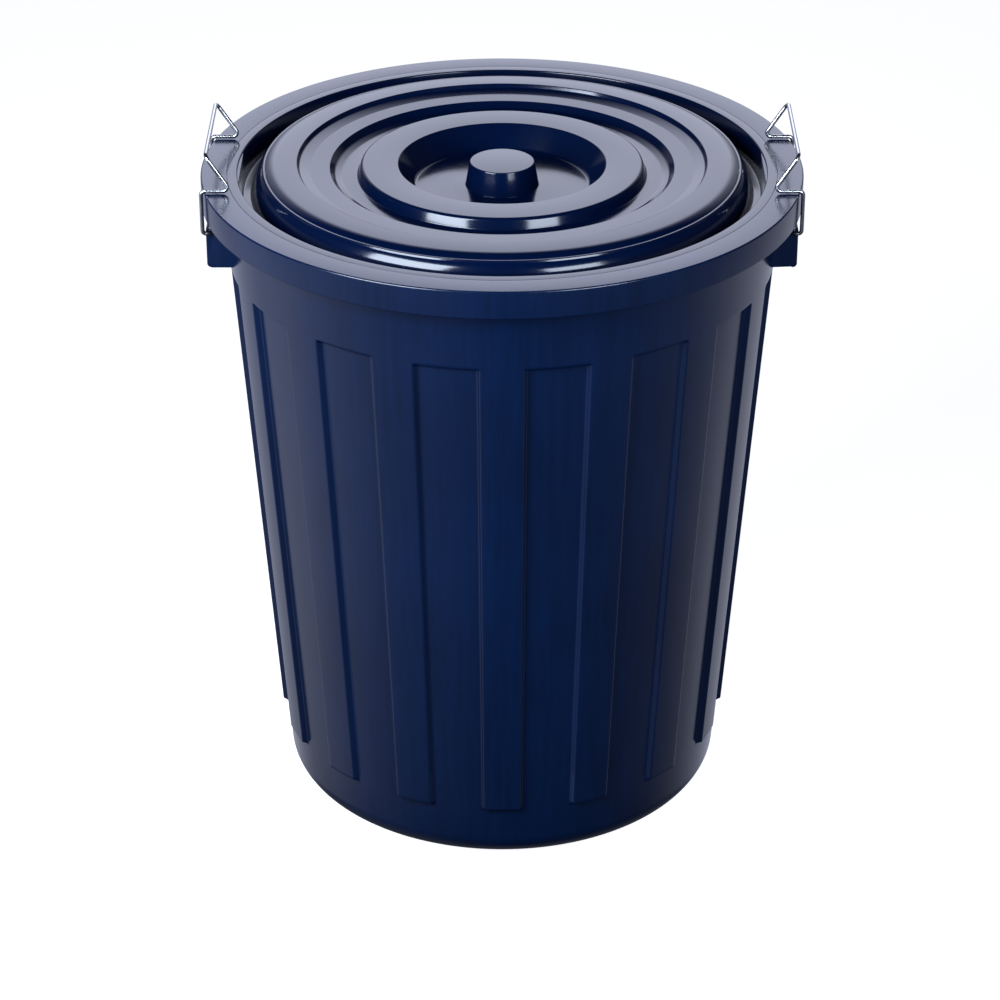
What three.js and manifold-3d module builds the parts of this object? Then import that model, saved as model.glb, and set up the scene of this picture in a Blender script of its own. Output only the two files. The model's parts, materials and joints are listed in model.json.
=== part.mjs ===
// Tapered plastic drum with an open head, a lift-off lid and two wire side handles.
// Millimetres, +Z up, floor at z = 0, front towards -Y, the handles at -X and +X.
import * as THREE from "three";
import { mergeVertices } from "three/addons/utils/BufferGeometryUtils.js";
import Module from "manifold-3d";

const wasm = await Module();
wasm.setup();

const DEG = Math.PI / 180;

// Rim
const RIM_RADIUS = 276;
const RIM_TOP = 625;
const RIM_CORNER = 2.5;
const SKIRT_DROP = 25.5;
const MOULDED_WALL = 3;

// Tapered wall: the raised stripes stand on this cone
const WALL_RADIUS_AT_PANEL_TOP = 252;
const WALL_TAPER = 0.0725;
const PANEL_TOP = 539.7;
const PANEL_FOOT = 60.3;
const PANEL_DEPTH = 5.2;
const PANEL_LIP = 2;
const PANEL_COUNT = 16;
const STRIPE_HALF_ANGLE = 4.465;
const PANEL_SIDE_ANGLE = 0.55;
const INNER_STEP_START = PANEL_TOP - PANEL_LIP + MOULDED_WALL;
const INNER_STEP_END = PANEL_TOP + MOULDED_WALL;
const ROW_MARGIN = 0.1;

// Base
const BASE_CORNER = 27.6;
const BASE_CORNER_STEPS = 4;
const FOOT_INNER_RADIUS = 132;
const FOOT_HEIGHT = 3;

// Seat in the rim that carries the lid flush with the rim's top face
const SEAT_RADIUS = 252.4;
const SEAT_INNER_RADIUS = 248.2;
const SEAT_DEPTH = 3.8;
const SEAT_THICKNESS = 4;
const SEAT_BRACE = 12;

// Lid
const LID_RADIUS = 252;
const LID_FLANGE = 3.5;
const LID_SEGMENTS = 64;
const SHOULDER_RADIUS = 15;
const SHOULDER_CENTRE = [210.5, -9.5];
const SHOULDER_START_ANGLE = 15.7 * DEG;
const SHOULDER_STEPS = 4;
const GROOVE_EDGE = 242.9;
const GROOVE_OUTER = 238;
const GROOVE_INNER = 229.6;
const GROOVE_DEPTH = 22;
const CREST_RADIUS = 188;
const CREST_HEIGHT = 7.2;
const LEDGE_OUTER = 176;
const LEDGE_INNER = 158;
const LEDGE_HEIGHT = 1.2;
const VALLEY_OUTER = 147;
const VALLEY_INNER = 134;
const VALLEY_DEPTH = 6.7;
const PLATEAU_SHOULDER_RADIUS = 6;
const PLATEAU_SHOULDER_CENTRE = [126.2, -2.4];
const PLATEAU_SHOULDER_END_ANGLE = 5 * DEG;
const PLATEAU_SHOULDER_STEPS = 3;
const PLATEAU_INNER = 95.5;
const PLATEAU_HEIGHT = 3.6;
const STEP_FOOT = 2.2;
const WELL_RADIUS = 80.6;
const WELL_DEPTH = 17.5;
const KNOB_FOOT_RADIUS = 33.8;
const KNOB_RADIUS = 29.8;
const KNOB_HEIGHT = 5;
const KNOB_CHAMFER = 1.4;

// Lugs that carry the handles
const LUG_HALF_WIDTH = 60;
const LUG_OUTER = 269;
const LUG_BOTTOM = 550;
const LUG_CORNER = 4;
const LUG_ROOT = 236;
const LUG_WEB = 261;
const PIVOT_X = 264.5;
const PIVOT_Z = 586;
const LUG_CORNER_STEPS = 4;
const PIN_HOLE_RADIUS = 2.3;
const PIN_HOLE_DEPTH = 14;
const PIN_HOLE_SIDES = 12;

// Wire handles
const WIRE_RADIUS = 1.9;
const WIRE_SIDES = 8;
const WIRE_OVER_RIM = 0.6;
const ARM_X = 271.3;
const ARM_Y = 65;
const PIN_LENGTH = 11;
const ELBOW_X = 244.2;
const GRIP_X = 266;
const GRIP_Z = 661;
const HOOK_BEND_RADIUS = 3.2;
const BEND_RADIUS = 4;
const GRIP_BEND_RADIUS = 6;
const BEND_STEP_ANGLE = 24 * DEG;

const plastic = { color: 0x0b1a44, roughness: 0.25, metalness: 0 };
const zincWire = { color: 0xc4c7cb, roughness: 0.25, metalness: 1 };

function wallRadius(z) {
  return WALL_RADIUS_AT_PANEL_TOP + WALL_TAPER * (z - PANEL_TOP);
}

// One closed body from a geometry, ready for joins and cuts.
function toSolid(geometry) {
  const bare = geometry.clone();
  bare.deleteAttribute("normal");
  bare.deleteAttribute("uv");
  const merged = mergeVertices(bare, 1e-4);
  const vertProperties = new Float32Array(merged.attributes.position.array);
  const triVerts = new Uint32Array(merged.index.array);
  return new wasm.Manifold(new wasm.Mesh({ numProp: 3, vertProperties, triVerts }));
}

function toGeometry(solid) {
  const { vertProperties, triVerts } = solid.getMesh();
  const geometry = new THREE.BufferGeometry();
  geometry.setAttribute("position", new THREE.BufferAttribute(vertProperties, 3));
  geometry.setIndex(new THREE.BufferAttribute(triVerts, 1));
  geometry.computeVertexNormals();
  return geometry;
}

// A profile of [radius, height] points turned about Z.
function turned(points, segments) {
  const profile = points.map(([r, z]) => new THREE.Vector2(r, z));
  const geometry = new THREE.LatheGeometry(profile, segments);
  geometry.rotateX(Math.PI / 2);
  return geometry;
}

// Points of a round corner, from one angle to another, ends included.
function arc([centreR, centreZ], radius, fromAngle, toAngle, steps) {
  const points = [];
  for (let i = 0; i <= steps; i += 1) {
    const angle = fromAngle + ((toAngle - fromAngle) * i) / steps;
    points.push([centreR + radius * Math.cos(angle), centreZ + radius * Math.sin(angle)]);
  }
  return points;
}

// Angles, in degrees from a stripe's middle, of the vertices of one stripe and one panel.
function periodAngles() {
  const period = 360 / PANEL_COUNT;
  const floorStart = STRIPE_HALF_ANGLE + PANEL_SIDE_ANGLE;
  const floorEnd = period - floorStart;
  const third = (floorEnd - floorStart) / 3;
  return [
    -STRIPE_HALF_ANGLE, 0, STRIPE_HALF_ANGLE,
    floorStart, floorStart + third, floorEnd - third, floorEnd,
  ];
}

// Moves each vertex of a turned wall to the stripe pattern's angles, and sinks
// the vertices marked as panelled to the panel floor.
function addPanels(geometry, points, panelled) {
  const angles = periodAngles();
  const perPeriod = angles.length;
  const segments = PANEL_COUNT * perPeriod;
  const position = geometry.attributes.position;
  for (let column = 0; column <= segments; column += 1) {
    const within = column % perPeriod;
    const stripe = Math.floor(column / perPeriod);
    const angle = (stripe * (360 / PANEL_COUNT) + angles[within] - 90) * DEG;
    const sunk = within > 2;
    for (let row = 0; row < points.length; row += 1) {
      const vertex = column * points.length + row;
      const depth = panelled(points[row][1]) && sunk ? PANEL_DEPTH : 0;
      const radius = Math.max(points[row][0] - depth, 0);
      position.setXYZ(vertex, radius * Math.cos(angle), radius * Math.sin(angle), points[row][1]);
    }
  }
  return geometry;
}

function panelledWall(points, foot, top) {
  const segments = PANEL_COUNT * periodAngles().length;
  const inPanels = (z) => z > foot && z < top;
  return toSolid(addPanels(turned(points, segments), points, inPanels));
}

// Outside of the drum, from the middle of the base up to the middle of the rim's top plane.
function drumOutline() {
  const lowerRadius = (z) => wallRadius(z) - PANEL_DEPTH;
  const wallAngle = Math.atan(WALL_TAPER);
  const centre = [lowerRadius(BASE_CORNER) - BASE_CORNER, BASE_CORNER];
  const skirtInner = RIM_RADIUS - MOULDED_WALL;
  const rimUnder = RIM_TOP - MOULDED_WALL;
  const rimCorner = [RIM_RADIUS - RIM_CORNER, RIM_TOP - RIM_CORNER];
  return [
    [0, FOOT_HEIGHT],
    [FOOT_INNER_RADIUS - FOOT_HEIGHT, FOOT_HEIGHT],
    [FOOT_INNER_RADIUS, 0],
    ...arc(centre, BASE_CORNER, -90 * DEG, -wallAngle, BASE_CORNER_STEPS),
    [lowerRadius(PANEL_FOOT), PANEL_FOOT],
    [wallRadius(PANEL_FOOT + PANEL_LIP), PANEL_FOOT + PANEL_LIP],
    [wallRadius(PANEL_TOP - PANEL_LIP), PANEL_TOP - PANEL_LIP],
    [wallRadius(PANEL_TOP), PANEL_TOP],
    [wallRadius(rimUnder), rimUnder],
    [skirtInner, rimUnder],
    [skirtInner, RIM_TOP - SKIRT_DROP],
    [RIM_RADIUS, RIM_TOP - SKIRT_DROP],
    ...arc(rimCorner, RIM_CORNER, 0, 90 * DEG, 2),
    [0, RIM_TOP],
  ];
}

// The space inside the drum, closed off above the rim.
function cavityOutline() {
  const innerRadius = (z) => wallRadius(z) - MOULDED_WALL;
  const lowerRadius = (z) => innerRadius(z) - PANEL_DEPTH;
  const floor = FOOT_HEIGHT + MOULDED_WALL;
  const corner = BASE_CORNER - MOULDED_WALL;
  const centre = [lowerRadius(floor + corner) - corner, floor + corner];
  const seat = RIM_TOP - SEAT_DEPTH;
  const seatUnder = seat - SEAT_THICKNESS;
  return [
    [0, floor],
    ...arc(centre, corner, -90 * DEG, -Math.atan(WALL_TAPER), BASE_CORNER_STEPS),
    [lowerRadius(PANEL_FOOT + MOULDED_WALL), PANEL_FOOT + MOULDED_WALL],
    [innerRadius(PANEL_FOOT + PANEL_LIP), PANEL_FOOT + PANEL_LIP + MOULDED_WALL],
    [innerRadius(INNER_STEP_START), INNER_STEP_START],
    [innerRadius(INNER_STEP_END), INNER_STEP_END],
    [innerRadius(seatUnder - SEAT_BRACE), seatUnder - SEAT_BRACE],
    [SEAT_INNER_RADIUS, seatUnder],
    [SEAT_INNER_RADIUS, seat],
    [SEAT_RADIUS, seat],
    [SEAT_RADIUS, RIM_TOP + 1],
    [0, RIM_TOP + 1],
  ];
}

// The block under the rim at +X (side = 1) or -X (side = -1) that carries one handle,
// with a web inside the skirt that joins it to the rim.
function lug(side) {
  const topRadius = LUG_OUTER - PIVOT_X;
  const outline = new THREE.Shape();
  outline.moveTo(LUG_ROOT, LUG_BOTTOM);
  outline.lineTo(LUG_OUTER - LUG_CORNER, LUG_BOTTOM);
  outline.absarc(LUG_OUTER - LUG_CORNER, LUG_BOTTOM + LUG_CORNER, LUG_CORNER, -90 * DEG, 0);
  outline.lineTo(LUG_OUTER, PIVOT_Z);
  outline.absarc(PIVOT_X, PIVOT_Z, topRadius, 0, 90 * DEG);
  outline.lineTo(LUG_WEB, PIVOT_Z + topRadius);
  outline.lineTo(LUG_WEB, RIM_TOP - MOULDED_WALL / 2);
  outline.lineTo(LUG_ROOT, RIM_TOP - MOULDED_WALL / 2);
  outline.closePath();
  const depth = 2 * LUG_HALF_WIDTH;
  const curveSegments = LUG_CORNER_STEPS;
  const geometry = new THREE.ExtrudeGeometry(outline, { depth, curveSegments, bevelEnabled: false });
  geometry.rotateX(Math.PI / 2);
  geometry.translate(0, LUG_HALF_WIDTH, 0);
  if (side < 0) geometry.rotateZ(Math.PI);
  return toSolid(geometry);
}

// The blind hole for a handle's pin in the end face of a lug.
function pinHole(side, end) {
  const length = 2 * PIN_HOLE_DEPTH;
  const geometry = new THREE.CylinderGeometry(PIN_HOLE_RADIUS, PIN_HOLE_RADIUS, length, PIN_HOLE_SIDES);
  geometry.translate(side * PIVOT_X, end * LUG_HALF_WIDTH, PIVOT_Z);
  return toSolid(geometry);
}

function drumGeometry() {
  const outside = panelledWall(drumOutline(), PANEL_FOOT + ROW_MARGIN, PANEL_TOP - ROW_MARGIN);
  const innerFoot = PANEL_FOOT + MOULDED_WALL + ROW_MARGIN;
  const cavity = panelledWall(cavityOutline(), innerFoot, INNER_STEP_END - ROW_MARGIN);
  let drum = outside.add(lug(1)).add(lug(-1)).subtract(cavity);
  for (const side of [1, -1]) {
    for (const end of [1, -1]) drum = drum.subtract(pinHole(side, end));
  }
  return toGeometry(drum);
}

// Top surface of the lid, from the flange's edge to the axis; heights from the rim's top plane.
function lidTop() {
  const knobEdge = KNOB_RADIUS - KNOB_CHAMFER;
  const plateauShoulder = arc(
    PLATEAU_SHOULDER_CENTRE,
    PLATEAU_SHOULDER_RADIUS,
    PLATEAU_SHOULDER_END_ANGLE,
    90 * DEG,
    PLATEAU_SHOULDER_STEPS,
  );
  return [
    [LID_RADIUS, 0],
    [GROOVE_EDGE, 0],
    [GROOVE_OUTER, -GROOVE_DEPTH],
    [GROOVE_INNER, -GROOVE_DEPTH],
    ...arc(SHOULDER_CENTRE, SHOULDER_RADIUS, SHOULDER_START_ANGLE, 90 * DEG, SHOULDER_STEPS),
    [CREST_RADIUS, CREST_HEIGHT],
    [CREST_RADIUS - STEP_FOOT, LEDGE_HEIGHT + STEP_FOOT],
    [LEDGE_OUTER, LEDGE_HEIGHT],
    [LEDGE_INNER, LEDGE_HEIGHT],
    [LEDGE_INNER - 2 * STEP_FOOT, STEP_FOOT - VALLEY_DEPTH],
    [VALLEY_OUTER, -VALLEY_DEPTH],
    [VALLEY_INNER, -VALLEY_DEPTH],
    [VALLEY_INNER - 1, 1 - VALLEY_DEPTH],
    ...plateauShoulder,
    [PLATEAU_INNER, PLATEAU_HEIGHT],
    [WELL_RADIUS, -WELL_DEPTH],
    [KNOB_FOOT_RADIUS, -WELL_DEPTH],
    [KNOB_RADIUS, KNOB_HEIGHT - KNOB_CHAMFER],
    [knobEdge, KNOB_HEIGHT],
    [0, KNOB_HEIGHT],
  ];
}

// The same line moved down into the plastic by one wall, corner for corner.
function underside(top) {
  const inner = [];
  for (let i = 1; i < top.length; i += 1) {
    const [r, z] = top[i];
    const before = new THREE.Vector2(r - top[i - 1][0], z - top[i - 1][1]).normalize();
    const next = i < top.length - 1 ? top[i + 1] : [r - 1, z];
    const after = new THREE.Vector2(next[0] - r, next[1] - z).normalize();
    const normal = new THREE.Vector2(-before.y - after.y, before.x + after.x).normalize();
    const reach = MOULDED_WALL / Math.abs(normal.x * -before.y + normal.y * before.x);
    inner.push([Math.max(r + normal.x * reach, 0), z + normal.y * reach]);
  }
  return inner;
}

function lidGeometry() {
  const top = lidTop();
  const under = underside(top);
  under[0] = [under[0][0], -LID_FLANGE];
  under[under.length - 1][0] = 0;
  const outline = [[LID_RADIUS, -LID_FLANGE], ...top];
  const profile = [...under.slice().reverse(), ...outline];
  return turned(profile.map(([r, z]) => [r, z + RIM_TOP]), LID_SEGMENTS);
}

// A wire's centre line through given stations, each met exactly by one step of the sweep.
class WirePath extends THREE.Curve {
  constructor(stations) {
    super();
    this.stations = stations;
  }

  getUtoTmapping(u) {
    return u;
  }

  getPoint(t) {
    const place = t * (this.stations.length - 1);
    const index = Math.min(Math.floor(place), this.stations.length - 2);
    return this.stations[index].clone().lerp(this.stations[index + 1], place - index);
  }

  getTangent(t) {
    const index = Math.round(t * (this.stations.length - 1));
    const tangent = new THREE.Vector3();
    for (const start of [index - 1, index]) {
      if (start < 0 || start > this.stations.length - 2) continue;
      tangent.add(this.stations[start + 1].clone().sub(this.stations[start]).normalize());
    }
    return tangent.normalize();
  }
}

// Stations round a bend of the given radius at a corner between two straight stretches.
function bend(before, corner, after, radius) {
  const back = before.clone().sub(corner).normalize();
  const ahead = after.clone().sub(corner).normalize();
  const half = back.angleTo(ahead) / 2;
  const start = corner.clone().addScaledVector(back, radius / Math.tan(half));
  const centre = corner.clone().add(back.clone().add(ahead).setLength(radius / Math.sin(half)));
  const turn = Math.PI - 2 * half;
  const axis = ahead.clone().cross(back).normalize();
  const steps = Math.max(2, Math.ceil(turn / BEND_STEP_ANGLE));
  const stations = [];
  for (let i = 0; i <= steps; i += 1) {
    const arm = start.clone().sub(centre).applyAxisAngle(axis, (turn * i) / steps);
    stations.push(arm.add(centre));
  }
  return stations;
}

// One wire from pin to pin: up outside the skirt, in over the rim, back out and up to the grip.
function handleGeometry(side) {
  const overRim = RIM_TOP + WIRE_OVER_RIM + WIRE_RADIUS;
  const half = [
    [PIVOT_X, ARM_Y - BEND_RADIUS - PIN_LENGTH, PIVOT_Z],
    [PIVOT_X, ARM_Y, PIVOT_Z],
    [ARM_X, ARM_Y, PIVOT_Z],
    [ARM_X, ARM_Y, overRim],
    [ELBOW_X, ARM_Y, overRim],
    [GRIP_X, ARM_Y, GRIP_Z],
  ];
  const hook = HOOK_BEND_RADIUS;
  const radii = [0, hook, hook, BEND_RADIUS, BEND_RADIUS, GRIP_BEND_RADIUS];
  const front = half.map(([x, y, z]) => new THREE.Vector3(side * x, -y, z));
  const back = half.map(([x, y, z]) => new THREE.Vector3(side * x, y, z));
  const corners = [...front, ...back.reverse()];
  const bends = [...radii, ...radii.slice().reverse()];
  const stations = [corners[0]];
  for (let i = 1; i < corners.length - 1; i += 1) {
    stations.push(...bend(corners[i - 1], corners[i], corners[i + 1], bends[i]));
  }
  stations.push(corners[corners.length - 1]);
  const section = new THREE.Shape();
  for (let i = 0; i < WIRE_SIDES; i += 1) {
    const angle = (2 * Math.PI * (i + 0.5)) / WIRE_SIDES;
    section[i ? "lineTo" : "moveTo"](WIRE_RADIUS * Math.cos(angle), WIRE_RADIUS * Math.sin(angle));
  }
  section.closePath();
  const extrudePath = new WirePath(stations);
  return new THREE.ExtrudeGeometry(section, { steps: stations.length - 1, extrudePath });
}

function piece(name, geometry, look) {
  const mesh = new THREE.Mesh(geometry, new THREE.MeshStandardMaterial(look));
  mesh.name = name;
  return mesh;
}

const drum = new THREE.Group();
drum.add(piece("drum_body", drumGeometry(), plastic));
drum.add(piece("lid", lidGeometry(), plastic));
drum.add(piece("left_handle", handleGeometry(-1), zincWire));
drum.add(piece("right_handle", handleGeometry(1), zincWire));

export default drum;
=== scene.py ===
"""A moulded plastic drum with an open head: shell, ringed lid and two wire handles, on a pale floor."""

import json
import math

import bpy
import bmesh
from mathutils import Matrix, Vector


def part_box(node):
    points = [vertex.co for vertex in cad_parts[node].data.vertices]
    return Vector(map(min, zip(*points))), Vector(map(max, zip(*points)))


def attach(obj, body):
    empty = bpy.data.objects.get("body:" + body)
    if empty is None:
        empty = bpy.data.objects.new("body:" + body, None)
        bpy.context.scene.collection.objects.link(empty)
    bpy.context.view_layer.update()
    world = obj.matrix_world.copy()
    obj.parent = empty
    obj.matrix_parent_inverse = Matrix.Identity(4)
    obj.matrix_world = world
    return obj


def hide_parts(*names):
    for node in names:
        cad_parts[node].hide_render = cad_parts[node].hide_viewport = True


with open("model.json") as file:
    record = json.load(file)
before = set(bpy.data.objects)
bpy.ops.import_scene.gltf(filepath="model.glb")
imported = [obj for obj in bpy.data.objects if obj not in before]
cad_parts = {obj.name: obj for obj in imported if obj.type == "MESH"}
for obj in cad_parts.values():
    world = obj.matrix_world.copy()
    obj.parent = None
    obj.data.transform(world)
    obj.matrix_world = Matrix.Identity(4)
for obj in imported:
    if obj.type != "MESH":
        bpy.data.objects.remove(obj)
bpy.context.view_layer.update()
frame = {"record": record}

MM = 0.001

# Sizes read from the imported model
RIM_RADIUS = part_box("drum_body")[1][0]
RIM_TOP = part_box("drum_body")[1][2]
LID_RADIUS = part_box("lid")[1][0]
WIRE_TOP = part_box("right_handle")[1][2]
HANDLE_JOINTS = {j["child"]: j for j in frame["record"]["behaviour"]["joints"] if j["type"] == "hinge"}
PIVOT_X = abs(HANDLE_JOINTS["right_handle"]["pos_m"][0])
PIVOT_Z = HANDLE_JOINTS["right_handle"]["pos_m"][2]

# Shell
WALL = 3 * MM
SKIRT_DROP = 25.5 * MM
SKIRT_EDGE_ROUND = 0.8 * MM
RIM_ROUND = 1.6 * MM
RIM_ROOT_ROUND = 1.5 * MM
WALL_TAPER = 0.0725
WALL_RADIUS_AT_PANEL_TOP = 252 * MM
BASE_CORNER = 27.6 * MM
FOOT_RADIUS = 132 * MM
FOOT_HEIGHT = 3 * MM
FOOT_STEP = 4 * MM
FOOT_ROUND = 2 * MM
EDGE_ROUND = 1.0 * MM

# Sunken panels, between the raised stripes
PANEL_TOP = 539.7 * MM
PANEL_FOOT = 60.3 * MM
PANEL_DEPTH = 5.2 * MM
PANEL_LIP = 2 * MM
PANEL_COUNT = 16
TURN_STEPS = 640
STRIPE_STEPS = 16
SUPPORT = 3 * MM
SUNK_ROWS = 4
OUTER_ROWS = [
    PANEL_FOOT + PANEL_LIP, PANEL_FOOT + PANEL_LIP + SUPPORT,
    PANEL_TOP - PANEL_LIP - SUPPORT, PANEL_TOP - PANEL_LIP,
    PANEL_TOP, PANEL_TOP + SUPPORT,
]
INNER_ROWS = [z + WALL for z in OUTER_ROWS]

# Seat for the lid
SEAT_RADIUS = LID_RADIUS + 0.2 * MM
SEAT_INNER = 248.2 * MM
SEAT_DEPTH = 3.8 * MM
SEAT_THICKNESS = 4 * MM
SEAT_BRACE = 12 * MM
SEAT_BRACE_ROUND = 6 * MM

# Lid: corners of its upper side as (radius, height over the rim, rounding), from the edge inwards
LID_FLANGE = 3.5 * MM
LID_UNDER_ROUND = 1 * MM
LID_EDGE_ROUND = 0.5 * MM
LID_STEPS = 256
LID_TOP = [
    (LID_RADIUS, 0, 0.2 * MM),
    (242.9 * MM, 0, 1.5 * MM),
    (238 * MM, -22 * MM, 2 * MM),
    (229.6 * MM, -22 * MM, 2.5 * MM),
    (221.6 * MM, 6.2 * MM, 20 * MM),
    (188 * MM, 7.2 * MM, 1.0 * MM),
    (186 * MM, 3.4 * MM, 2 * MM),
    (176 * MM, 1.2 * MM, 3 * MM),
    (158 * MM, 1.2 * MM, 1.0 * MM),
    (153.5 * MM, -4.5 * MM, 4 * MM),
    (147 * MM, -6.7 * MM, 6 * MM),
    (132.4 * MM, -6.7 * MM, 1.5 * MM),
    (129.2 * MM, 3.6 * MM, 4 * MM),
    (95.5 * MM, 3.6 * MM, 1.6 * MM),
    (80.6 * MM, -17.5 * MM, 5 * MM),
    (33.8 * MM, -17.5 * MM, 0.3 * MM),
    (29.6 * MM, 5 * MM, 1.3 * MM),
    (0, 5 * MM, 0),
]

# Lugs
LUG_OUTER = 269 * MM
LUG_WEB = 261 * MM
LUG_ROOT = 240 * MM
LUG_HALF_WIDTH = 60 * MM
LUG_BOTTOM = 550 * MM
LUG_BOTTOM_ROUND = 4 * MM
LUG_WEB_ROUND = 1.5 * MM
LUG_END_ROUND = 1 * MM
PIN_HOLE = 2.3 * MM
PIN_HOLE_DEPTH = 14 * MM
PIN_HOLE_SIDES = 32

# Wire
WIRE = 1.9 * MM
WIRE_SIDES = 20
ARM_X = 271.3 * MM
ARM_Y = 65 * MM
PIN_LENGTH = 11 * MM
ELBOW_X = 244.2 * MM
GRIP_X = 266 * MM
BEND = 4 * MM
HOOK_BEND = 3.2 * MM
GRIP_BEND = 6 * MM
WIRE_OVER_RIM = 0.6 * MM
WIRE_BEND_STEP = 10

# Roundings of a turned outline: degrees a step, and finer steps on the large ones
ARC_STEP = 12
FINE_ARC_STEP = 5
FINE_ROUNDING = 3.5 * MM

# How near counts as the same point, on the wall's surface or on an end face
SAME_POINT = 0.01 * MM
ON_WALL = 0.05 * MM
ON_END_FACE = 0.1 * MM

# Angles in degrees: edges sharper than these are rounded, or stay sharp in smooth shading
CRISP_ANGLE = 20
SHELL_SMOOTH = 50
LUG_SMOOTH = 35
WIRE_SMOOTH = 40

# Camera: places in metres, sensor and lens in millimetres
FOCUS = Vector((0, 0, 0.2767))
CAMERA_PLACE = Vector((0, -2.8594, 1.8183))
CAMERA_SENSOR = 36
CAMERA_LENS = 120.97
CAMERA_SHIFT = -0.0021
CAMERA_REACH = 50

# Floor
FLOOR_SIZE = 60
FLOOR_TONE = (0.5, 0.5, 0.5, 1)
FLOOR_GLOW = 0.86
FLOOR_ROUGHNESS = 0.9

# Softboxes: degrees round from the front and up, then metres and watts
SOFTBOX_AIM = Vector((0, 0, 0.45))
SOFTBOX_COLOUR = (0.74, 0.84, 1)
SOFTBOX_DISTANCE = 1.75
LEFT_BOX = {"azimuth": -42.5, "elevation": 28, "width": 0.98, "height": 1.0, "power": 66}
RIGHT_BOX = {"azimuth": 31, "elevation": 22, "width": 0.68, "height": 0.8, "power": 25}

# Brightness of the room by direction: degrees from the front (-Y), positive towards the right
SWEEP = (
    (-180, 2.85), (-170, 2.85), (-160, 1), (-148, 0.5), (-135, 0.03),
    (135, 0.03), (148, 0.5), (160, 1), (170, 2.85), (180, 2.85),
)
GROUND = (
    (-180, 0.5), (-128, 0.4), (-106, 0.55), (-66, 0.36), (-50, 0.22), (-25, 0.17),
    (0, 0.06), (28, 0.07), (56, 0.09), (85, 0.15), (124, 0.42), (180, 0.5),
)
PEAK = 3

# Bands where that brightness fades, between two heights of the direction
SWEEP_START = math.sin(math.radians(-2)), math.sin(math.radians(20))
SWEEP_END = math.sin(math.radians(28)), math.sin(math.radians(48))
SWEEP_FOOT = 0.25
GROUND_BAND = -0.70, -0.54
GROUND_NEAR = 0.25 * PEAK
GROUND_FAR = 1.5 * PEAK
HORIZON = -0.04, 0.04
ROOM_COLOUR = (0.75, 0.795, 1, 1)
BACKDROP_COLOUR = (1, 1, 1, 1)
BACKDROP_STRENGTH = 1.05


def wall_radius(z):
    return WALL_RADIUS_AT_PANEL_TOP + WALL_TAPER * (z - PANEL_TOP)


def floor_radius(z):
    return wall_radius(z) - PANEL_DEPTH


def inner_radius(z):
    return wall_radius(z) - WALL


def inner_floor_radius(z):
    return inner_radius(z) - PANEL_DEPTH


# ---------------------------------------------------------------- modelling by hand

def start_piece(name):
    """The new primitive, named and alone in edit mode with everything selected."""
    piece = bpy.context.object
    piece.name = name
    piece.data.name = name
    bpy.ops.object.mode_set(mode="EDIT")
    bpy.ops.mesh.select_mode(type="VERT")
    bpy.ops.mesh.select_all(action="SELECT")
    return piece


def select_only(piece):
    bpy.ops.object.select_all(action="DESELECT")
    piece.select_set(True)
    bpy.context.view_layer.objects.active = piece


def finish_piece(piece, smooth_angle):
    """Back to object mode, place put into the mesh, smooth shading up to an angle."""
    bpy.ops.object.mode_set(mode="OBJECT")
    select_only(piece)
    bpy.ops.object.transform_apply(location=True, rotation=True, scale=True)
    bpy.ops.object.shade_smooth_by_angle(angle=math.radians(smooth_angle))
    return piece


def outward_normals():
    bpy.ops.mesh.select_all(action="SELECT")
    bpy.ops.mesh.remove_doubles(threshold=SAME_POINT)
    bpy.ops.mesh.normals_make_consistent(inside=False)


def pick(piece, kind, test):
    """Selects in edit mode just the vertices or edges that pass a test."""
    bpy.ops.mesh.select_mode(type={"verts": "VERT", "edges": "EDGE"}[kind])
    bpy.ops.mesh.select_all(action="DESELECT")
    mesh = bmesh.from_edit_mesh(piece.data)
    for part in getattr(mesh, kind):
        if test(part):
            part.select_set(True)
    mesh.select_flush_mode()
    bmesh.update_edit_mesh(piece.data)


def round_outline(corners):
    """Points of an outline of (radius, height, rounding) corners, each rounding as an arc."""
    points = []
    for i, (r, z, rounding) in enumerate(corners):
        corner = Vector((r, z))
        if rounding == 0 or i in (0, len(corners) - 1):
            points.append(corner)
            continue
        back = (Vector(corners[i - 1][:2]) - corner).normalized()
        ahead = (Vector(corners[i + 1][:2]) - corner).normalized()
        half = back.angle(ahead) / 2
        turn = math.pi - 2 * half
        centre = corner + (back + ahead).normalized() * rounding / math.sin(half)
        start = corner + back * rounding / math.tan(half) - centre
        side = 1 if back.x * ahead.y - back.y * ahead.x < 0 else -1
        step = FINE_ARC_STEP if rounding > FINE_ROUNDING else ARC_STEP
        steps = max(2, math.ceil(math.degrees(turn) / step))
        for k in range(steps + 1):
            angle = side * turn * k / steps
            cos, sin = math.cos(angle), math.sin(angle)
            spoke = Vector((start.x * cos - start.y * sin, start.x * sin + start.y * cos))
            points.append(centre + spoke)
    return points


def draw_outline(name, points, y=0):
    """Starts a piece as one point and draws an outline from it in the XZ plane."""
    bpy.ops.object.select_all(action="DESELECT")
    bpy.ops.mesh.primitive_plane_add(size=MM, location=(points[0].x, y, points[0].y))
    bpy.ops.object.transform_apply(location=True, rotation=True, scale=True)
    piece = start_piece(name)
    bpy.ops.mesh.merge(type="CENTER")
    for before, after in zip(points, points[1:]):
        move = (after.x - before.x, 0, after.y - before.y)
        bpy.ops.mesh.extrude_region_move(TRANSFORM_OT_translate={"value": move})
    bpy.ops.mesh.select_all(action="SELECT")
    return piece


def turn_outline(name, points, steps):
    """Spins an outline once round the Z axis."""
    piece = draw_outline(name, points)
    bpy.ops.mesh.spin(steps=steps, angle=2 * math.pi, center=(0, 0, 0), axis=(0, 0, 1))
    outward_normals()
    return piece


# ---------------------------------------------------------------- shell

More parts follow.
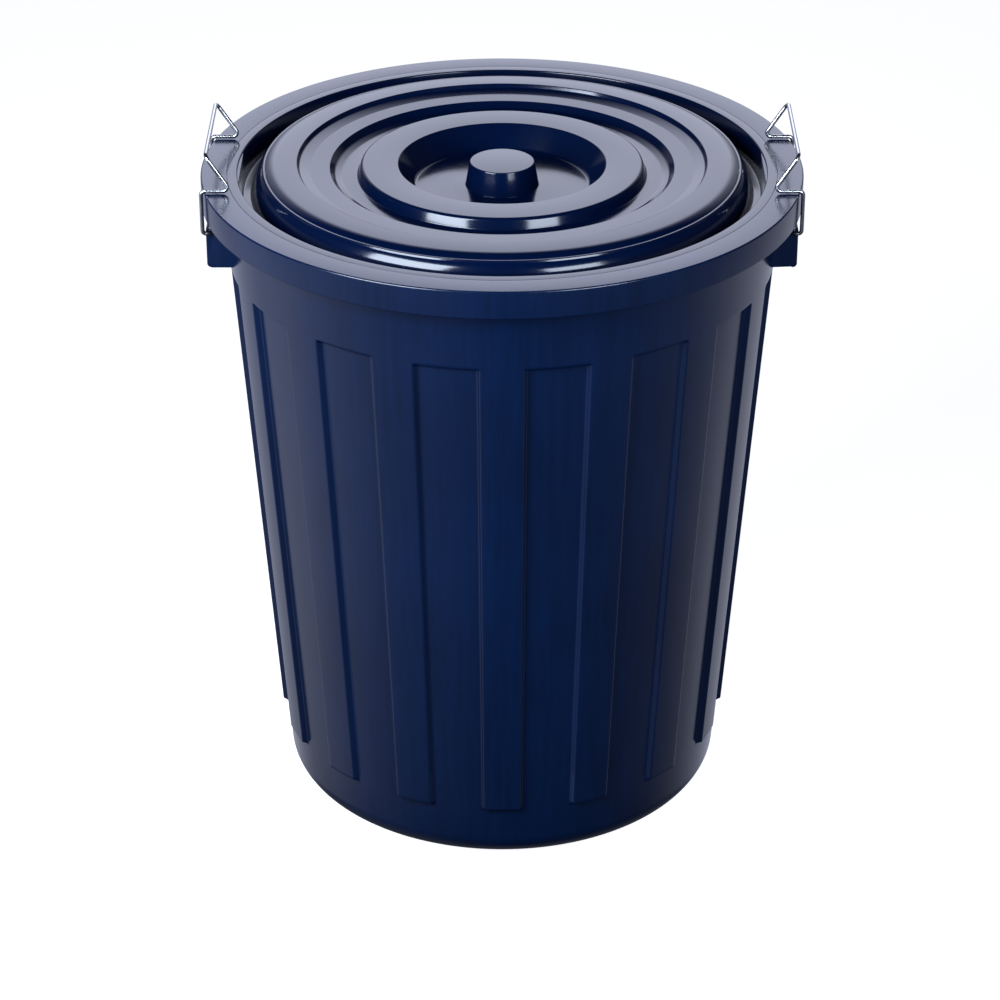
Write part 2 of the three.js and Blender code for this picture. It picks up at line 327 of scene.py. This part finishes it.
def shell_outline():
    """Closed outline of the moulded wall: outside from the base up, over the rim, and down inside."""
    skirt_inner = RIM_RADIUS - WALL
    skirt_end = RIM_TOP - SKIRT_DROP
    rim_under = RIM_TOP - WALL
    seat = RIM_TOP - SEAT_DEPTH
    seat_under = seat - SEAT_THICKNESS
    brace_end = seat_under - SEAT_BRACE
    floor = FOOT_HEIGHT + WALL
    corners = [
        (0, FOOT_HEIGHT, 0),
        (FOOT_RADIUS - FOOT_STEP, FOOT_HEIGHT, FOOT_ROUND),
        (FOOT_RADIUS, 0, FOOT_ROUND),
        (floor_radius(0), 0, BASE_CORNER),
        (floor_radius(PANEL_FOOT - SUPPORT), PANEL_FOOT - SUPPORT, 0),
        (floor_radius(PANEL_FOOT), PANEL_FOOT, 0),
        *((wall_radius(z), z, 0) for z in OUTER_ROWS),
        (wall_radius(rim_under), rim_under, RIM_ROOT_ROUND),
        (skirt_inner, rim_under, RIM_ROOT_ROUND),
        (skirt_inner, skirt_end, SKIRT_EDGE_ROUND),
        (RIM_RADIUS, skirt_end, SKIRT_EDGE_ROUND),
        (RIM_RADIUS, RIM_TOP, RIM_ROUND),
        (SEAT_RADIUS, RIM_TOP, 0.2 * MM),
        (SEAT_RADIUS, seat, 0.3 * MM),
        (SEAT_INNER, seat, 0.8 * MM),
        (SEAT_INNER, seat_under, 1 * MM),
        (inner_radius(brace_end), brace_end, SEAT_BRACE_ROUND),
        *((inner_radius(z), z, 0) for z in reversed(INNER_ROWS)),
        (inner_floor_radius(PANEL_FOOT + WALL), PANEL_FOOT + WALL, 0),
        (inner_floor_radius(PANEL_FOOT), PANEL_FOOT, 0),
        (inner_floor_radius(floor), floor, BASE_CORNER - WALL),
        (FOOT_RADIUS, floor, FOOT_ROUND),
        (0, floor, 0),
    ]
    return round_outline(corners)


def columns_from_stripe(vertex):
    """How many spin steps a vertex lies from the middle of the nearest raised stripe."""
    pitch = TURN_STEPS // PANEL_COUNT
    column = round(math.degrees(math.atan2(vertex.co.y, vertex.co.x)) * TURN_STEPS / 360) % pitch
    return min(column, pitch - column)


def sink_row(piece, z, radius, first_column):
    """Draws one row of wall vertices in to the panel floor, between the raised stripes."""
    def in_panel(vertex):
        return (
            abs(vertex.co.z - z) < SAME_POINT
            and abs(vertex.co.xy.length - radius) < ON_WALL
            and columns_from_stripe(vertex) >= first_column
        )

    pick(piece, "verts", in_panel)
    shrink = (radius - PANEL_DEPTH) / radius
    bpy.ops.transform.resize(value=(shrink, shrink, 1), center_override=(0, 0, z))


def is_panel_edge(edge):
    """The crisp edges round the sunken panels and at the feet of the stripes, on the outside."""
    if len(edge.link_faces) != 2 or edge.calc_face_angle() < math.radians(CRISP_ANGLE):
        return False
    middle = (edge.verts[0].co + edge.verts[1].co) / 2
    inside_foot = middle.z > PANEL_FOOT - MM
    inside_top = middle.z < PANEL_TOP + MM
    outside = middle.xy.length > floor_radius(middle.z) - MM
    return inside_foot and inside_top and outside


def mould_shell():
    """The turned wall with its panels sunk, outside and inside, and their edges rounded."""
    piece = turn_outline("drum_shell", shell_outline(), TURN_STEPS)
    raised = STRIPE_STEPS // 2
    for z in OUTER_ROWS[:SUNK_ROWS]:
        sink_row(piece, z, wall_radius(z), raised + 1)
    for z in INNER_ROWS[:SUNK_ROWS]:
        sink_row(piece, z, inner_radius(z), raised)
    pick(piece, "edges", is_panel_edge)
    bpy.ops.mesh.bevel(offset=EDGE_ROUND, segments=3, affect="EDGES", clamp_overlap=True)
    outward_normals()
    return finish_piece(piece, SHELL_SMOOTH)


# ---------------------------------------------------------------- lid

def lid_underside():
    """The top's corners moved one wall down into the plastic."""
    corners = []
    for i in range(1, len(LID_TOP)):
        here = Vector(LID_TOP[i][:2])
        before = (here - Vector(LID_TOP[i - 1][:2])).normalized()
        ahead = Vector(LID_TOP[i + 1][:2]) - here if i + 1 < len(LID_TOP) else Vector((-1, 0))
        ahead.normalize()
        normal = Vector((-before.y - ahead.y, before.x + ahead.x)).normalized()
        reach = WALL / abs(normal.dot(Vector((-before.y, before.x))))
        radius = max(here.x + normal.x * reach, 0)
        corners.append((radius, here.y + normal.y * reach, LID_UNDER_ROUND))
    corners[0] = (corners[0][0], -LID_FLANGE, LID_UNDER_ROUND)
    corners[-1] = (0, corners[-1][1], 0)
    return corners


def mould_lid():
    """The lid from the middle of its underside out to its edge and back over the top."""
    edge = (LID_RADIUS, -LID_FLANGE, LID_EDGE_ROUND)
    corners = [*reversed(lid_underside()), edge, *LID_TOP]
    lifted = [(r, z + RIM_TOP, rounding) for r, z, rounding in corners]
    piece = turn_outline("lid_shell", round_outline(lifted), LID_STEPS)
    return finish_piece(piece, SHELL_SMOOTH)


# ---------------------------------------------------------------- lugs

def lug_outline():
    """The block with its corner rounded round the pivot, and the web inside the skirt."""
    round_top = LUG_OUTER - PIVOT_X
    top = PIVOT_Z + round_top
    web_top = RIM_TOP - WALL / 2
    corners = [
        (LUG_ROOT, LUG_BOTTOM, 0),
        (LUG_OUTER, LUG_BOTTOM, LUG_BOTTOM_ROUND),
        (LUG_OUTER, top, round_top * 0.99),
        (LUG_WEB, top, LUG_WEB_ROUND),
        (LUG_WEB, web_top, 0),
        (LUG_ROOT, web_top, 0),
    ]
    return round_outline(corners)


def mould_lug(name, side):
    """The block that carries one handle, with a hole in each end face for the pin."""
    points = [Vector((-point.x, point.y)) for point in lug_outline()]
    block = draw_outline(name, points, -LUG_HALF_WIDTH)
    bpy.ops.mesh.edge_face_add()
    bpy.ops.mesh.select_all(action="SELECT")
    bpy.ops.mesh.extrude_region_move(TRANSFORM_OT_translate={"value": (0, 2 * LUG_HALF_WIDTH, 0)})
    outward_normals()
    pick(block, "edges", is_lug_end_edge)
    bpy.ops.mesh.bevel(offset=LUG_END_ROUND, segments=3, affect="EDGES")
    outward_normals()
    finish_piece(block, LUG_SMOOTH)
    for end in (-1, 1):
        drill_pin_hole(block, end)
    if side > 0:
        bpy.ops.transform.rotate(value=math.pi, orient_axis="Z", center_override=(0, 0, 0))
        bpy.ops.object.transform_apply(location=True, rotation=True, scale=True)
    bpy.ops.object.shade_smooth_by_angle(angle=math.radians(LUG_SMOOTH))
    return block


def is_lug_end_edge(edge):
    """The outline of each end face, apart from its edges at the root and under the rim."""
    for v in edge.verts:
        left_out = abs(v.co.x) < LUG_ROOT + ON_END_FACE or v.co.z > RIM_TOP - WALL
        if left_out or abs(abs(v.co.y) - LUG_HALF_WIDTH) > ON_END_FACE:
            return False
    return True


def drill_pin_hole(block, end):
    """Cuts one blind hole in towards the middle of the block, from its end at -Y or +Y."""
    bpy.ops.object.select_all(action="DESELECT")
    bpy.ops.mesh.primitive_cylinder_add(
        vertices=PIN_HOLE_SIDES, radius=PIN_HOLE, depth=2 * PIN_HOLE_DEPTH,
        location=(-PIVOT_X, end * LUG_HALF_WIDTH, PIVOT_Z), rotation=(math.pi / 2, 0, 0),
    )
    drill = bpy.context.object
    cut = block.modifiers.new("pin_hole", "BOOLEAN")
    cut.operation = "DIFFERENCE"
    cut.object = drill
    select_only(block)
    bpy.ops.object.modifier_apply(modifier=cut.name)
    bpy.data.objects.remove(drill)


# ---------------------------------------------------------------- wire handles

def handle_corners(side):
    """Corners of one wire, from the front pin to the back pin, with the bend radius at each."""
    over_rim = RIM_TOP + WIRE_OVER_RIM + WIRE
    grip_z = WIRE_TOP - WIRE
    half = [
        (PIVOT_X, ARM_Y - BEND - PIN_LENGTH, PIVOT_Z, 0),
        (PIVOT_X, ARM_Y, PIVOT_Z, HOOK_BEND),
        (ARM_X, ARM_Y, PIVOT_Z, HOOK_BEND),
        (ARM_X, ARM_Y, over_rim, BEND),
        (ELBOW_X, ARM_Y, over_rim, BEND),
        (GRIP_X, ARM_Y, grip_z, GRIP_BEND),
    ]
    front = [(Vector((side * x, -y, z)), bend) for x, y, z, bend in half]
    back = [(Vector((side * x, y, z)), bend) for x, y, z, bend in reversed(half)]
    return front + back


def is_open_edge(edge):
    return edge.is_boundary


def bend_wire(name, side):
    """A ring of edges drawn along each straight stretch and spun round each bend."""
    corners = handle_corners(side)
    place = corners[0][0]
    bpy.ops.object.select_all(action="DESELECT")
    bpy.ops.mesh.primitive_circle_add(
        vertices=WIRE_SIDES, radius=WIRE, location=place, rotation=(math.pi / 2, 0, 0),
    )
    bpy.ops.object.transform_apply(location=True, rotation=True, scale=True)
    piece = start_piece(name)
    bpy.ops.mesh.select_mode(type="EDGE")
    for (before, _), (corner, radius), (after, _) in zip(corners, corners[1:], corners[2:]):
        back = (before - corner).normalized()
        ahead = (after - corner).normalized()
        half = back.angle(ahead) / 2
        start = corner + back * radius / math.tan(half)
        centre = corner + (back + ahead).normalized() * radius / math.sin(half)
        axis = back.cross(ahead).normalized()
        bpy.ops.mesh.extrude_region_move(TRANSFORM_OT_translate={"value": start - place})
        turn = math.pi - 2 * half
        steps = max(3, math.ceil(math.degrees(turn) / WIRE_BEND_STEP))
        bpy.ops.mesh.spin(steps=steps, angle=turn, center=centre, axis=axis)
        place = corner + ahead * radius / math.tan(half)
    bpy.ops.mesh.extrude_region_move(TRANSFORM_OT_translate={"value": corners[-1][0] - place})
    pick(piece, "edges", is_open_edge)
    bpy.ops.mesh.edge_face_add()
    outward_normals()
    return finish_piece(piece, WIRE_SMOOTH)


# ---------------------------------------------------------------- finishes

def node(tree, kind, **settings):
    made = tree.nodes.new(kind)
    for name, value in settings.items():
        setattr(made, name, value)
    return made


def noise(tree, scale, detail):
    made = node(tree, "ShaderNodeTexNoise")
    made.inputs["Scale"].default_value = scale
    made.inputs["Detail"].default_value = detail
    return made


def stretched(tree, scale):
    """Object coordinates go through this to make a texture finer along some axes."""
    made = node(tree, "ShaderNodeMapping")
    made.inputs["Scale"].default_value = scale
    return made


def build_moulded_skin():
    """Shared look of moulded plastic: faint clouds and upright flow lines, fine grain and scuffs."""
    group = bpy.data.node_groups.new("moulded_skin", "ShaderNodeTree")
    face = group.interface
    face.new_socket("Colour", in_out="INPUT", socket_type="NodeSocketColor")
    for name in ("Cloud", "Gloss", "Scuffs"):
        face.new_socket(name, in_out="INPUT", socket_type="NodeSocketFloat")
    face.new_socket("Colour", in_out="OUTPUT", socket_type="NodeSocketColor")
    face.new_socket("Roughness", in_out="OUTPUT", socket_type="NodeSocketFloat")
    face.new_socket("Height", in_out="OUTPUT", socket_type="NodeSocketFloat")
    link = group.links.new
    inputs = node(group, "NodeGroupInput")
    outputs = node(group, "NodeGroupOutput")
    place = node(group, "ShaderNodeTexCoord")

    # Clouds, and flow lines that run up the wall
    cloud = noise(group, scale=6, detail=3)
    flow_map = stretched(group, (150, 150, 2.5))
    flow = noise(group, scale=1, detail=3)
    mottle = node(group, "ShaderNodeMix", data_type="FLOAT")
    mottle.inputs["Factor"].default_value = 0.45
    link(place.outputs["Object"], cloud.inputs["Vector"])
    link(place.outputs["Object"], flow_map.inputs["Vector"])
    link(flow_map.outputs["Vector"], flow.inputs["Vector"])
    link(cloud.outputs["Fac"], mottle.inputs["A"])
    link(flow.outputs["Fac"], mottle.inputs["B"])

    # They make the colour a little lighter and darker
    shift = node(group, "ShaderNodeMath", operation="SUBTRACT")
    shift.inputs[1].default_value = 0.5
    gain = node(group, "ShaderNodeMath", operation="MULTIPLY_ADD")
    gain.inputs[2].default_value = 1
    tint = node(group, "ShaderNodeHueSaturation")
    link(mottle.outputs["Result"], shift.inputs[0])
    link(shift.outputs[0], gain.inputs[0])
    link(inputs.outputs["Cloud"], gain.inputs[1])
    link(gain.outputs[0], tint.inputs["Value"])
    link(inputs.outputs["Colour"], tint.inputs["Color"])
    link(tint.outputs["Color"], outputs.inputs["Colour"])

    # Scuffs that dull the gloss
    scuff_map = stretched(group, (30, 30, 4))
    scuff = noise(group, scale=9, detail=6)
    scuff.inputs["Roughness"].default_value = 0.7
    scuff_mask = node(group, "ShaderNodeMapRange")
    scuff_mask.inputs["From Min"].default_value = 0.58
    scuff_mask.inputs["From Max"].default_value = 0.8
    scuffed = node(group, "ShaderNodeMath", operation="MULTIPLY_ADD")
    link(place.outputs["Object"], scuff_map.inputs["Vector"])
    link(scuff_map.outputs["Vector"], scuff.inputs["Vector"])
    link(scuff.outputs["Fac"], scuff_mask.inputs["Value"])
    link(scuff_mask.outputs["Result"], scuffed.inputs[0])
    link(inputs.outputs["Scuffs"], scuffed.inputs[1])
    link(inputs.outputs["Gloss"], scuffed.inputs[2])
    link(scuffed.outputs[0], outputs.inputs["Roughness"])

    # Fine grain from the mould
    grain = noise(group, scale=420, detail=2)
    link(place.outputs["Object"], grain.inputs["Vector"])
    link(grain.outputs["Fac"], outputs.inputs["Height"])
    return group


def plastic(name, skin, colour, gloss, cloud, scuffs, grain):
    """A plastic with the moulded skin; cloud, scuffs and grain say how strong each shows."""
    material = bpy.data.materials.new(name)
    material.use_nodes = True
    tree = material.node_tree
    shader = tree.nodes["Principled BSDF"]
    look = node(tree, "ShaderNodeGroup", node_tree=skin)
    look.inputs["Colour"].default_value = (*colour, 1)
    look.inputs["Gloss"].default_value = gloss
    look.inputs["Cloud"].default_value = cloud
    look.inputs["Scuffs"].default_value = scuffs
    bump = node(tree, "ShaderNodeBump")
    bump.inputs["Strength"].default_value = grain
    bump.inputs["Distance"].default_value = 0.1 * MM
    link = tree.links.new
    link(look.outputs["Colour"], shader.inputs["Base Color"])
    link(look.outputs["Roughness"], shader.inputs["Roughness"])
    link(look.outputs["Height"], bump.inputs["Height"])
    link(bump.outputs["Normal"], shader.inputs["Normal"])
    shader.inputs["IOR"].default_value = 1.5
    return material


def zinc_wire():
    """Bright plated steel: slightly uneven plating in colour, gloss and height."""
    material = bpy.data.materials.new("zinc_wire")
    material.use_nodes = True
    tree = material.node_tree
    shader = tree.nodes["Principled BSDF"]
    shader.inputs["Metallic"].default_value = 1
    link = tree.links.new
    place = node(tree, "ShaderNodeTexCoord")
    patches = noise(tree, scale=160, detail=4)
    link(place.outputs["Object"], patches.inputs["Vector"])
    rough = node(tree, "ShaderNodeMapRange")
    rough.inputs["To Min"].default_value = 0.12
    rough.inputs["To Max"].default_value = 0.34
    link(patches.outputs["Fac"], rough.inputs["Value"])
    bump = node(tree, "ShaderNodeBump")
    bump.inputs["Strength"].default_value = 0.25
    bump.inputs["Distance"].default_value = 0.05 * MM
    link(patches.outputs["Fac"], bump.inputs["Height"])
    mix = node(tree, "ShaderNodeMix", data_type="RGBA")
    mix.inputs["A"].default_value = (0.36, 0.37, 0.39, 1)
    mix.inputs["B"].default_value = (0.66, 0.66, 0.67, 1)
    link(patches.outputs["Fac"], mix.inputs["Factor"])
    link(mix.outputs["Result"], shader.inputs["Base Color"])
    link(rough.outputs["Result"], shader.inputs["Roughness"])
    link(bump.outputs["Normal"], shader.inputs["Normal"])
    return material


# ---------------------------------------------------------------- studio

def set_camera():
    data = bpy.data.cameras.new("camera")
    camera = bpy.data.objects.new("camera", data)
    bpy.context.collection.objects.link(camera)
    camera.location = CAMERA_PLACE
    camera.rotation_euler = (FOCUS - camera.location).to_track_quat("-Z", "Y").to_euler()
    data.sensor_width = CAMERA_SENSOR
    data.lens = CAMERA_LENS
    data.shift_x = CAMERA_SHIFT
    data.clip_end = CAMERA_REACH
    bpy.context.scene.camera = camera


def lay_floor():
    """A pale floor that glows a little and neither shows in the plastic nor lights it."""
    bpy.ops.object.select_all(action="DESELECT")
    bpy.ops.mesh.primitive_plane_add(size=FLOOR_SIZE, location=(0, 0, 0))
    floor = bpy.context.object
    floor.name = "studio_floor"
    material = bpy.data.materials.new("studio_floor")
    material.use_nodes = True
    shader = material.node_tree.nodes["Principled BSDF"]
    shader.inputs["Base Color"].default_value = FLOOR_TONE
    shader.inputs["Roughness"].default_value = FLOOR_ROUGHNESS
    shader.inputs["Specular IOR Level"].default_value = 0
    shader.inputs["Emission Color"].default_value = (1, 1, 1, 1)
    shader.inputs["Emission Strength"].default_value = FLOOR_GLOW
    floor.data.materials.append(material)
    floor.visible_glossy = False
    floor.visible_diffuse = False


def softbox(name, azimuth, elevation, width, height, power):
    """A rectangular light; azimuth from the front (-Y) towards the right, in degrees."""
    data = bpy.data.lights.new(name, "AREA")
    data.shape = "RECTANGLE"
    data.size = width
    data.size_y = height
    data.energy = power
    data.color = SOFTBOX_COLOUR
    light = bpy.data.objects.new(name, data)
    bpy.context.collection.objects.link(light)
    turn, rise = math.radians(azimuth), math.radians(elevation)
    flat = math.cos(rise)
    away = Vector((math.sin(turn) * flat, -math.cos(turn) * flat, math.sin(rise)))
    light.location = SOFTBOX_AIM + away * SOFTBOX_DISTANCE
    light.rotation_euler = (-away).to_track_quat("-Z", "Y").to_euler()
    light.visible_camera = False


def brightness_ring(tree, azimuth, stops):
    """Brightness by azimuth, as a ramp of (degrees, value) stops."""
    ramp = node(tree, "ShaderNodeValToRGB")
    places = ramp.color_ramp.elements
    while len(places) < len(stops):
        places.new(0.5)
    for place, (degrees, value) in zip(places, stops):
        place.position = 0.5 + degrees / 360
        place.color = (value / PEAK, value / PEAK, value / PEAK, 1)
    tree.links.new(azimuth, ramp.inputs["Fac"])
    return ramp.outputs["Color"]


def height_band(tree, height, low, high, value_low, value_high):
    """A smooth change from one value to another between two heights of the direction."""
    band = node(tree, "ShaderNodeMapRange", interpolation_type="SMOOTHSTEP")
    band.inputs["From Min"].default_value = low
    band.inputs["From Max"].default_value = high
    band.inputs["To Min"].default_value = value_low
    band.inputs["To Max"].default_value = value_high
    tree.links.new(height, band.inputs["Value"])
    return band.outputs["Result"]


def math_node(tree, operation, *values):
    """A math node fed by sockets or plain numbers."""
    made = node(tree, "ShaderNodeMath", operation=operation)
    for socket, value in zip(made.inputs, values):
        if isinstance(value, bpy.types.NodeSocket):
            tree.links.new(value, socket)
        else:
            socket.default_value = value
    return made.outputs[0]


def room_brightness(tree):
    """How bright the room is by direction: the sweep above the horizon, the ground below it."""
    place = node(tree, "ShaderNodeTexCoord")
    split = node(tree, "ShaderNodeSeparateXYZ")
    tree.links.new(place.outputs["Generated"], split.inputs["Vector"])
    height = split.outputs["Z"]
    forward = math_node(tree, "MULTIPLY", split.outputs["Y"], -1)
    turn = math_node(tree, "ARCTAN2", split.outputs["X"], forward)
    azimuth = math_node(tree, "MULTIPLY_ADD", turn, 1 / (2 * math.pi), 0.5)
    foot = height_band(tree, height, *SWEEP_START, SWEEP_FOOT, 1)
    head = height_band(tree, height, *SWEEP_END, PEAK, 0)
    upper = math_node(tree, "MULTIPLY", brightness_ring(tree, azimuth, SWEEP), foot)
    upper = math_node(tree, "MULTIPLY", upper, head)
    band = height_band(tree, height, *GROUND_BAND, GROUND_NEAR, GROUND_FAR)
    lower = math_node(tree, "MULTIPLY", brightness_ring(tree, azimuth, GROUND), band)
    above = height_band(tree, height, *HORIZON, 0, 1)
    difference = math_node(tree, "SUBTRACT", upper, lower)
    return math_node(tree, "MULTIPLY_ADD", difference, above, lower)


def light_studio():
    """A bright sweep behind, a dim room round the sides and front, and two softboxes in front."""
    world = bpy.data.worlds.new("studio_sweep")
    bpy.context.scene.world = world
    world.use_nodes = True
    tree = world.node_tree
    tree.nodes.clear()
    link = tree.links.new
    sweep = node(tree, "ShaderNodeBackground")
    sweep.inputs["Color"].default_value = ROOM_COLOUR
    link(room_brightness(tree), sweep.inputs["Strength"])
    backdrop = node(tree, "ShaderNodeBackground")
    backdrop.inputs["Color"].default_value = BACKDROP_COLOUR
    backdrop.inputs["Strength"].default_value = BACKDROP_STRENGTH
    seen = node(tree, "ShaderNodeLightPath")
    mix = node(tree, "ShaderNodeMixShader")
    link(seen.outputs["Is Camera Ray"], mix.inputs["Fac"])
    link(sweep.outputs[0], mix.inputs[1])
    link(backdrop.outputs[0], mix.inputs[2])
    output = node(tree, "ShaderNodeOutputWorld")
    link(mix.outputs[0], output.inputs["Surface"])
    softbox("softbox_left", **LEFT_BOX)
    softbox("softbox_right", **RIGHT_BOX)
    bpy.context.scene.view_settings.view_transform = "Standard"


# ---------------------------------------------------------------- assembly

def place(piece, body, slot, material, *nodes):
    """Puts a finished piece on its body, in place of the CAD nodes it stands for."""
    piece.data.materials.clear()
    piece.data.materials.append(material)
    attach(piece, body)
    if nodes:
        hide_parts(*nodes)


set_camera()
lay_floor()
light_studio()

skin = build_moulded_skin()
drum_plastic = plastic(
    "drum_plastic", skin, (0.0008, 0.0068, 0.029), gloss=0.2, cloud=1.3, scuffs=0.15, grain=0.02,
)
# Same plastic as the drum, darkened to a little over half its colour: painted shade over the whole lid
lid_plastic = plastic(
    "lid_plastic", skin, (0.0005, 0.0036, 0.019), gloss=0.13, cloud=0.4, scuffs=0.06, grain=0.01,
)
wire = zinc_wire()

place(mould_shell(), "drum", "drum_plastic", drum_plastic, "drum_body")
place(mould_lug("left_lug", -1), "drum", "drum_plastic", drum_plastic)
place(mould_lug("right_lug", 1), "drum", "drum_plastic", drum_plastic)
place(mould_lid(), "lid", "lid_plastic", lid_plastic, "lid")
place(bend_wire("left_wire", -1), "left_handle", "handle_wire", wire, "left_handle")
place(bend_wire("right_wire", 1), "right_handle", "handle_wire", wire, "right_handle")
